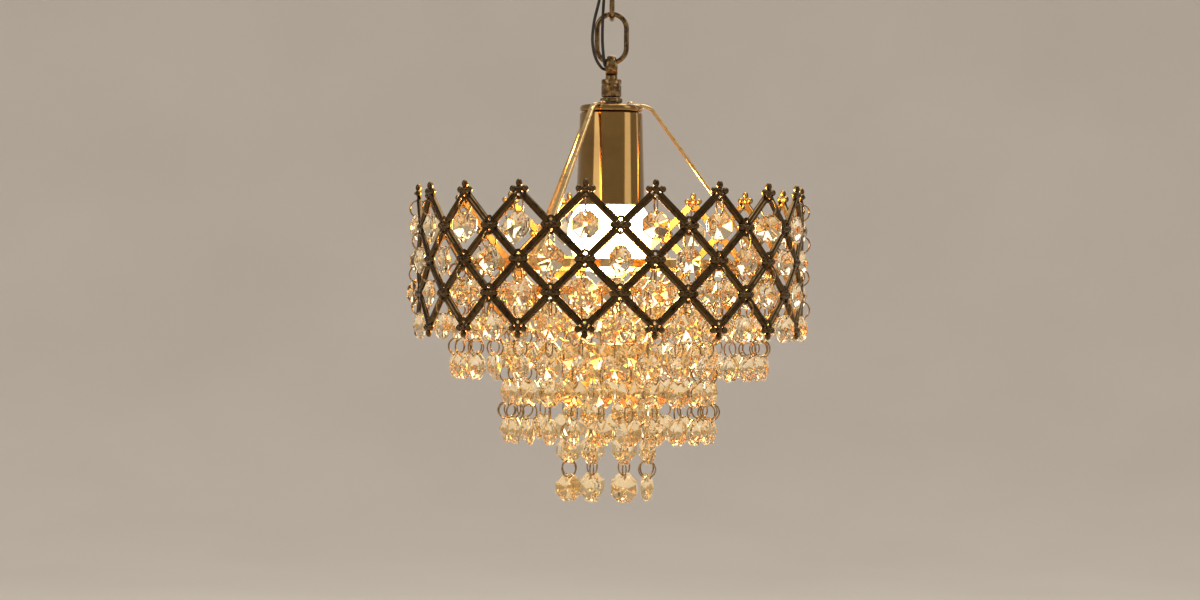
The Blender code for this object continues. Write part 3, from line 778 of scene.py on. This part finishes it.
# ------------------------------------------------------------------ cup and its cover
COVER = [
    (3.9, 109.6), (14.6, 109.6), (15.4, 109.4), (16.0, 108.9), (16.3, 108.1), (16.3, 106.7),
    (16.1, 106.3), (15.7, 106.1), (3.9, 106.1),
]
CUP = [
    (3.9, 105.8), (14.8, 105.8), (15.7, 105.6), (16.2, 105.1), (16.35, 104.4), (17.92, 58.6),
    (18.15, 58.1), (18.2, 57.5), (18.0, 57.0), (17.5, 56.95), (17.2, 57.4), (15.55, 104.3),
    (15.3, 104.8), (14.7, 105.0), (3.9, 105.0),
]
ARM_SCREW_AT = 10.0  # radius where each arm is screwed down
cover = turned("cup_cover", COVER, BRASS_CUP_PAINTED_SHADE, 128, cad="cup_cap")
# a groove for each arm, then its screw hole
cut(cover, [slab(polar(10.5, a, 110.0), (3.6, 15, 4), a) for a in ARM_ANGLES])
cut(
    cover,
    [rod(polar(ARM_SCREW_AT, a, 105), polar(ARM_SCREW_AT, a, 111), 1.0) for a in ARM_ANGLES],
)
turned("cone_cup", CUP, BRASS_CUP_PAINTED_SHADE, 144, cad="socket_cup")

# ------------------------------------------------------------------ lamp holder and bulb
HOLDER = [
    (3.9, 102.6), (8.0, 102.6), (11.4, 101.7), (12.6, 100.7), (13.0, 99.3), (13.0, 90.0),
    (12.5, 89.6), (12.5, 88.4), (13.0, 88.0), (13.0, 78.0), (12.6, 75.2), (12.0, 74.1),
    (11.4, 74.0), (8.6, 74.0), (8.6, 99.0), (3.9, 99.0),
]
turned("holder_body", HOLDER, CERAMIC, 80, slot="ceramic", cad="lampholder_body")


def thread_outline(radius, depth, low, high, pitch):
    """A wall rolled into rounded ridges, from high down to low."""
    steps = 9
    count = int((high - low) / pitch) * steps
    return [
        (
            radius - depth / 2 + depth / 2 * math.cos(2 * math.pi * i / steps),
            high - (high - low) * i / count,
        )
        for i in range(count + 1)
    ]


turned(
    "holder_thread",
    thread_outline(radius=8.3, depth=0.5, low=75.0, high=95.6, pitch=2.6)
    + [(7.3, 75.0), (7.3, 95.6)],
    THREAD, 64, cad="lampholder_shell", smooth=40,
)
turned(
    "bulb_thread",
    [(0.0, 96.6), (2.2, 96.6), (2.6, 95.8), (5.2, 94.8), (6.2, 94.2)]
    + thread_outline(radius=6.7, depth=0.7, low=76.5, high=93.4, pitch=2.8)
    + [(7.0, 75.4), (7.1, 73.8), (0.0, 73.8)],
    THREAD, 64, closed=False, body="bulb", slot="steel", cad="bulb_cap", smooth=40,
)

GLOBE_R = 22.0
GLOBE_Z = 42.5
GLOBE_WALL = 0.8
globe_outer = [(7.4, 73.5), (7.8, 71.0), (8.6, 66.5)]  # the neck, then the round
for k in range(41):
    a = math.radians(30 + 150 * k / 40)
    globe_outer.append((GLOBE_R * math.sin(a) if k < 40 else 0.0, GLOBE_Z + GLOBE_R * math.cos(a)))
globe_inner = [
    (max(r - GLOBE_WALL, 0.0), z + (GLOBE_WALL if r < 1 else 0.0)) for r, z in globe_outer
]
turned(
    "opal_globe", globe_outer + globe_inner[::-1], OPAL, body="bulb", slot="opal_glass",
    cad="bulb_globe", smooth=60,
)

# ------------------------------------------------------------------ arms, brackets, struts
ARM_Z = 109.3  # middle of the strap where it lies flat on the cover
ARM_BEND_R = 9.0
ARM_BEND_START = 15.5
ARM_BEND_ANGLE = 53.8
SCREW_HEAD = [
    (0.0, 111.65), (0.7, 111.6), (1.3, 111.35), (1.65, 110.9), (1.7, 110.4), (0.7, 110.4),
    (0.7, 106.7), (0.0, 106.7),
]
# paths of (radius, height), outward for the bracket and inward for the strut
BRACKET_PATH = [(79.2, 29.5), (88.0, 29.5), (95.5, 29.5), (97.4, 29.4), (98.3, 29.0)]
STRUT_PATH = [
    (79.0, 29.4), (75.5, 29.35), (73.0, 28.2), (60.0, 18.6), (57.4, 16.9), (55.0, 16.2),
    (50.6, 15.9), (48.6, 14.6), (28.0, -10.4), (26.0, -12.4), (23.6, -13.8), (21.0, -14.0),
]


def strap(name, path, width, thick, angle, cad, corner=0.32):
    """A flat strap that follows a path of (radius, height) at one angle."""
    side = Vector((math.cos(math.radians(angle)), math.sin(math.radians(angle)), 0))
    points = [polar(r, angle, z) for r, z in path]
    shape = sweep(points, rounded(width, thick, corner), side=side)
    return weld(put(name, shape, BRASS_STRAP, cad=cad, smooth=40))


arm_path = [(4.3, ARM_Z)]
for k in range(15):
    a = math.radians(ARM_BEND_ANGLE * k / 14)
    arm_path.append(
        (ARM_BEND_START + ARM_BEND_R * math.sin(a), ARM_Z - ARM_BEND_R + ARM_BEND_R * math.cos(a))
    )
arm_path.append((78.6, 29.3))

for k, angle in enumerate(ARM_ANGLES):
    n = k + 1
    arm = strap(f"arm_strap_{n}", arm_path, 3.0, 1.95, angle, f"arm_{n}", corner=0.6)
    hole_ends = [polar(ARM_SCREW_AT, angle, ARM_Z + rise) for rise in (-4, 4)]
    cut(arm, [rod(*hole_ends, 0.95, 16)])
    screw = Soup()
    screw.add(
        lathe(SCREW_HEAD, 28, closed=False), Matrix.Translation(polar(ARM_SCREW_AT, angle, DROP))
    )
    head = weld(
        screw.put(f"arm_screw_head_{n}", BRASS_WIRE, cad=f"arm_screw_{n}", smooth=30)
    )
    # the driver slot, turned differently on each screw
    cut(head, [slab(polar(ARM_SCREW_AT, angle, 111.65), (0.45, 4.2, 0.9), angle + 25 * k)])
    strap(f"drum_bracket_{n}", BRACKET_PATH, 4.0, 1.2, angle, f"crown_bracket_{n}")

strut_path = [(p.x, p.y) for p in fair([Vector((r, z, 0)) for r, z in STRUT_PATH], 4)]
for n, angle in enumerate(STRUT_ANGLES, 1):
    strap(f"tier_strut_strap_{n}", strut_path, 3.0, 1.2, angle, f"tier_strut_{n}")

# ------------------------------------------------------------------ bands that carry the strings
BAND_HALF = 0.55  # half the thickness
BAND_BEVEL = 0.25


def band(n, ring):
    """A bevelled band with a hole for the top jump ring of each string."""
    inner = ring.radius - BAND_HALF
    outer = ring.radius + BAND_HALF
    low, high, bevel = ring.low, ring.high, BAND_BEVEL
    profile = [
        (inner, low + bevel), (inner, high - bevel), (inner + bevel, high),
        (outer - bevel, high), (outer, high - bevel), (outer, low + bevel),
        (outer - bevel, low), (inner + bevel, low),
    ]
    ob = turned(f"tier_{n}_band", profile, BRASS_STRAP, ring.sides, cad=f"tier_{n}_ring")
    z = ring.centres[0] + BEAD_HOLE + 2 * JUMP_R
    middle = height(z)
    holes = []
    for angle in ring.angles:
        ends = [polar(ring.radius + out, angle, z) for out in (-3, 3)]
        verts, faces = rod(*ends, ring.hole_r, 14)
        tall = [Vector((v.x, v.y, middle + (v.z - middle) * ring.stretch)) for v in verts]
        holes.append((tall, faces))
    cut(ob, holes)


for n, ring in TIERS.items():
    band(n, ring)

# ------------------------------------------------------------------ drum of diamonds
# sections of (across, out) mm
BAR_SECTION = [
    (-1.78, -1.1), (1.78, -1.1), (1.92, -0.9), (1.92, 0.15), (1.70, 0.55), (1.05, 1.0),
    (-1.05, 1.0), (-1.70, 0.55), (-1.92, 0.15), (-1.92, -0.9),
]
RIDGE_SECTION = [(-0.50, 0.95), (0.50, 0.95), (0.34, 1.25), (-0.34, 1.25)]
BAR_TRIM = 2.65  # from a corner to the end of each bar
RIDGE_TRIM = 0.9  # from the end of a bar to the end of its ridge

EYELET = torus(1.52, 0.74, 28, 10)
# corners where four bars meet
JOINT_WAIST = ball(1.0, 20, 10, (4.2, 1.35, 1.95))
JOINT_BOSS = ball(1.0, 14, 9, (1.6, 1.75, 1.2))
JOINT_SIDE = ball(1.78, 16, 10, (1.0, 0.86, 1.0))
# finials along the top and bottom edges
FINIAL_MIDDLE = ball(1.0, 16, 10, (2.1, 1.6, 1.9))
FINIAL_BEAD = ball(0.85, 10, 7)
FINIAL_SIDE = ball(1.75, 16, 10, (1.0, 0.95, 1.0))
FINIAL_DOT = ball(0.55, 8, 6)
FINIAL_TIP = ball(1.62, 18, 12, (1.0, 1.0, 1.28))


def drum_angle(row, column):
    """Odd rows stand half a pitch round from even ones."""
    return DRUM_TURN + row % 2 * DRUM_PITCH / 2 + DRUM_PITCH * column


def on_drum(angle, z, side=0.0, out=0.0):
    return Matrix.Translation(polar(DRUM_R + out, angle, z, side)) @ facing(angle)


def add_bar(drum, start, end):
    """A bar from corner to corner, with a narrow ridge along its outer face."""
    along = (end - start).normalized()
    middle = (start + end) / 2
    out = Vector((middle.x, middle.y, 0)).normalized()
    out = (out - along * out.dot(along)).normalized()
    across = along.cross(out)
    first = start + along * BAR_TRIM * MM
    last = end - along * BAR_TRIM * MM
    for section, trim in ((BAR_SECTION, 0.0), (RIDGE_SECTION, RIDGE_TRIM)):
        m = len(section)
        verts = []
        for tip in (first + along * trim * MM, last - along * trim * MM):
            verts += [tip + across * (u * MM) + out * (w * MM) for u, w in section]
        faces = [(m + i, m + (i + 1) % m, (i + 1) % m, i) for i in range(m)]
        faces += [tuple(range(m)), tuple(range(m, 2 * m))[::-1]]
        drum.add((verts, faces))


def add_joint(drum, angle, z):
    drum.add(JOINT_WAIST, on_drum(angle, z))
    drum.add(JOINT_BOSS, on_drum(angle, z, out=0.5))
    for s in (-1, 1):
        drum.add(JOINT_SIDE, on_drum(angle, z, side=s * 3.72))
        drum.add(EYELET, on_drum(angle, z + s * 2.78))


def add_finial(drum, angle, z, up):
    """An edge ornament that points up (1) or down (-1)."""
    drum.add(FINIAL_MIDDLE, on_drum(angle, z + up * 0.8))
    drum.add(FINIAL_BEAD, on_drum(angle, z + up * 0.9, out=1.45))
    for s in (-1, 1):
        drum.add(FINIAL_SIDE, on_drum(angle, z + up * 0.95, side=s * 3.4))
        drum.add(FINIAL_DOT, on_drum(angle, z + up * 1.0, side=s * 1.75, out=1.15))
    drum.add(rod(polar(DRUM_R, angle, z + up * 2.0), polar(DRUM_R, angle, z + up * 4.4), 0.95))
    drum.add(FINIAL_TIP, on_drum(angle, z + up * 3.85))
    drum.add(EYELET, on_drum(angle, z + up * -2.3))


corners = {
    (row, k): (drum_angle(row, k), DRUM_TOP - DRUM_STEP * row)
    for row in range(CORNER_ROWS)
    for k in range(DRUM_COLUMNS)
}
drum = Soup()
for row in range(CORNER_ROWS - 1):
    for k in range(DRUM_COLUMNS):
        for step in (-1, 0) if row % 2 == 0 else (0, 1):
            upper = corners[row, k]
            lower = corners[row + 1, (k + step) % DRUM_COLUMNS]
            add_bar(drum, polar(DRUM_R, *upper), polar(DRUM_R, *lower))
for (row, k), (angle, z) in corners.items():
    if 0 < row < CORNER_ROWS - 1:
        add_joint(drum, angle, z)
    else:
        add_finial(drum, angle, z, up=1 if row == 0 else -1)
drum.put("drum_frame", BRASS_DRUM_PAINTED_LIGHT_AND_SHADE, cad="crown_lattice", smooth=34)

# ------------------------------------------------------------------ crystals and jump rings
# (share of the full width, distance either side of the mid-plane), from the middle outward
BEAD_LEVELS = ((0.0, 3.72), (0.90, 1.24), (0.985, 0.62))


def cut_bead():
    """An octagonal crystal in the XZ plane with two holes through it along Y.

    Each side has eight long facets that meet at the middle, a narrow bevel and a thin girdle.
    """
    corner = BEAD_WIDTH / 2 / math.cos(math.pi / 8)
    bm = bmesh.new()

    def octagon(share, y):
        verts = []
        for k in range(8):
            a = math.radians(22.5 + 45 * k)
            r = corner * share
            verts.append(bm.verts.new((r * math.cos(a) * MM, y * MM, r * math.sin(a) * MM)))
        return verts

    sides = []
    for s in (-1, 1):
        (_, peak), bevel, edge = BEAD_LEVELS
        sides.append(
            (
                bm.verts.new((0, s * peak * MM, 0)),
                octagon(bevel[0], s * bevel[1]),
                octagon(edge[0], s * edge[1]),
            )
        )
    girdle = octagon(1.0, 0)
    for point, bevel, edge in sides:
        for k in range(8):
            j = (k + 1) % 8
            bm.faces.new((point, bevel[k], bevel[j]))
            bm.faces.new((bevel[k], edge[k], edge[j], bevel[j]))
            bm.faces.new((edge[k], girdle[k], girdle[j], edge[j]))
    bmesh.ops.recalc_face_normals(bm, faces=bm.faces)
    mesh = bpy.data.meshes.new("bead_master")
    bm.to_mesh(mesh)
    bm.free()
    ob = bpy.data.objects.new("bead_master", mesh)
    scene.collection.objects.link(ob)
    holes = []
    for s in (1, -1):
        z = s * BEAD_HOLE * MM
        holes.append(rod(Vector((0, -0.006, z)), Vector((0, 0.006, z)), 0.72, 10))
    cut(ob, holes)
    mesh = ob.data
    shape = [v.co.copy() for v in mesh.vertices], [tuple(p.vertices) for p in mesh.polygons]
    bpy.data.objects.remove(ob, do_unlink=True)
    bpy.data.meshes.remove(mesh)
    return shape


BEAD = cut_bead()
JUMP_RING = torus(JUMP_R, JUMP_WIRE_R, 30, 7)


def wander(spread_by, limit):
    return max(-limit, min(limit, rng.gauss(0, spread_by)))


def loose_turn(edge_on):
    """How far a crystal has turned on its ring: most face out, some stand almost edge on."""
    if rng.random() < edge_on:
        return rng.uniform(35, 85) * rng.choice((-1, 1))
    return wander(14, 32.0)


def hang(beads, rings, radius, angle, centres, edge_on):
    """Hangs one string: each crystal below its jump ring, both turned a little at random."""
    last = None
    for z in centres:
        yaw = loose_turn(edge_on)
        if last is None:
            ring_yaw = 90 + wander(10, 12.0)
        else:
            ring_yaw = 90 + (last + yaw) / 4 + rng.gauss(0, 14)
        lean_x = Matrix.Rotation(math.radians(rng.gauss(0, 1.2)), 4, "X")
        lean_y = Matrix.Rotation(math.radians(rng.gauss(0, 1.4)), 4, "Y")
        lean = lean_x @ lean_y
        ring_place = Matrix.Translation(polar(radius, angle, z + BEAD_HOLE + JUMP_R))
        rings.add(JUMP_RING, ring_place @ facing(angle, ring_yaw))
        beads.add(BEAD, Matrix.Translation(polar(radius, angle, z)) @ facing(angle, yaw) @ lean)
        last = yaw


def crystals(name, body, cad, material, radius, angles, centres, edge_on):
    """Strings at several angles, as one object of crystals and one of jump rings."""
    beads, rings = Soup(), Soup()
    for angle in angles:
        hang(beads, rings, radius, angle, centres, edge_on)
    glass = beads.put(name, material, body=body, slot="crystal", cad=cad, smooth=0)
    glass.visible_shadow = False
    rings.put(name + "_jump_rings", BRASS_RING_PAINTED_SHADE, body=body, smooth=60)


for row in range(CORNER_ROWS - 1):
    crystals(
        f"drum_crystals_{row + 1}", "lamp", f"crown_crystals_row_{row + 1}", CRYSTAL,
        radius=DRUM_R,
        angles=[drum_angle(row, k) for k in range(DRUM_COLUMNS)],
        centres=(DRUM_TOP - DRUM_STEP * (row + 1) - (0.2 if row else 0.0),),
        edge_on=0.22,
    )
for n, ring in TIERS.items():
    for group in range(ring.groups):
        first = group * ring.per_group
        body = f"tier_{n}_{'string' if ring.per_group == 1 else 'strings'}_{group + 1}"
        crystals(
            f"tier_{n}_crystals_{group + 1}", body, body, CRYSTAL if n == 1 else CRYSTAL_DEEP,
            radius=ring.radius,
            angles=ring.angles[first : first + ring.per_group],
            centres=ring.centres,
            edge_on=ring.edge_on,
        )

# ------------------------------------------------------------------ CAD nodes that stay
for name, material in (
    ("ceiling_bracket", STEEL),
    ("canopy_nut", STEEL),
    ("threaded_nipple", STEEL),
    ("nipple_nut", STEEL),
    ("lampholder_contact", THREAD),
):
    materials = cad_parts[name].data.materials
    materials.clear()
    materials.append(material)

# ------------------------------------------------------------------ stage, in metres
FLOOR_Z = -0.62
FLOOR_FLAT_R = 3.4
FLOOR_CURVE_R = 1.8
FLOOR_SIDES = 96


def studio_floor():
    """A round floor that curves up into a wall."""
    profile = [(r, FLOOR_Z) for r in (0, 0.6, 1.4, 2.4, FLOOR_FLAT_R)]
    for k in range(1, 13):
        a = math.radians(90 * k / 12)
        profile.append(
            (
                FLOOR_FLAT_R + FLOOR_CURVE_R * math.sin(a),
                FLOOR_Z + FLOOR_CURVE_R * (1 - math.cos(a)),
            )
        )
    profile.append((FLOOR_FLAT_R + FLOOR_CURVE_R, 4.0))
    verts = []
    for i in range(FLOOR_SIDES):
        a = 2 * math.pi * i / FLOOR_SIDES
        verts += [(r * math.cos(a), r * math.sin(a), z) for r, z in profile]
    faces = open_turn_faces(FLOOR_SIDES, len(profile))
    floor = weld(mesh_object("studio_floor", (verts, faces)))
    floor.data.shade_smooth()
    return floor


def pale_paper():
    material, tree, shader = new_material("pale_paper")
    mottle = noise(tree, scale=3.0, detail=3.0, rough=0.5)
    colour = ramp(tree, mottle, [(0.3, (0.76, 0.71, 0.65)), (0.7, (0.80, 0.75, 0.69))])
    tree.links.new(colour, shader.inputs["Base Color"])
    shader.inputs["Roughness"].default_value = 0.9
    return material


floor = studio_floor()
floor.data.materials.append(pale_paper())

# ------------------------------------------------------------------ light
world = bpy.data.worlds.new("studio")
scene.world = world
world.use_nodes = True
background = world.node_tree.nodes["Background"]
background.inputs["Color"].default_value = (1.0, 0.96, 0.91, 1.0)
background.inputs["Strength"].default_value = 0.40

PENDANT_MIDDLE = (0, 0, -0.20)


def area(name, place, size, power, colour, target=PENDANT_MIDDLE):
    light = bpy.data.lights.new(name, "AREA")
    light.shape = "RECTANGLE"
    light.size, light.size_y = size
    light.energy = power
    light.color = colour
    ob = bpy.data.objects.new(name, light)
    ob.location = place
    aim = Vector(target) - Vector(place)
    ob.rotation_euler = aim.to_track_quat("-Z", "Y").to_euler()
    scene.collection.objects.link(ob)


area(
    "overhead", place=(0.3, 0.2, 2.6), size=(2.4, 2.4), power=66.0, colour=(1.0, 0.96, 0.91),
    target=(0, 0, -0.47),
)
area("soft_left", place=(-2.4, -1.9, 1.2), size=(1.4, 1.8), power=14.0, colour=(1.0, 0.95, 0.89))
area("soft_right", place=(2.5, -1.2, 1.0), size=(1.2, 1.8), power=9.0, colour=(1.0, 0.94, 0.87))
area("soft_back", place=(0.6, 2.8, 1.6), size=(2.0, 1.0), power=12.0, colour=(1.0, 0.96, 0.91))
area(
    "strip_left", place=(-1.45, -1.75, 0.3), size=(0.08, 1.6), power=1.2,
    colour=(1.0, 0.94, 0.86),
)
area(
    "strip_right", place=(2.0, 0.80, 0.3), size=(0.12, 1.6), power=1.4, colour=(1.0, 0.94, 0.86)
)

# ------------------------------------------------------------------ camera, level with the datum
CAMERA_DISTANCE = 1.79
VIEW_WIDTH = 0.6264  # metres across the view at the pendant's axis
AIM_X = -4.959  # mm
AIM_Z = 7.83
CAMERA_ROLL = 0.5

camera = bpy.data.cameras.new("camera")
camera.sensor_width = 36.0
camera.lens = camera.sensor_width * CAMERA_DISTANCE / VIEW_WIDTH
camera.clip_start = 0.05
camera.clip_end = 30.0
camera_ob = bpy.data.objects.new("camera", camera)
camera_ob.location = (0, -CAMERA_DISTANCE, height(0))
aim = Vector((AIM_X * MM, 0, height(AIM_Z)))
look = (aim - camera_ob.location).to_track_quat("-Z", "Y").to_matrix().to_4x4()
roll = Matrix.Rotation(math.radians(CAMERA_ROLL), 4, "Z")
camera_ob.rotation_euler = (look @ roll).to_euler()
scene.collection.objects.link(camera_ob)
scene.camera = camera_ob

# ------------------------------------------------------------------ render
scene.view_settings.view_transform = "Standard"
scene.view_settings.look = "None"
scene.view_settings.exposure = 0.0
scene.cycles.max_bounces = 24
scene.cycles.transmission_bounces = 20
scene.cycles.glossy_bounces = 8
scene.cycles.caustics_reflective = False
scene.cycles.caustics_refractive = False
scene.cycles.sample_clamp_indirect = 6.0

bpy.context.view_layer.update()
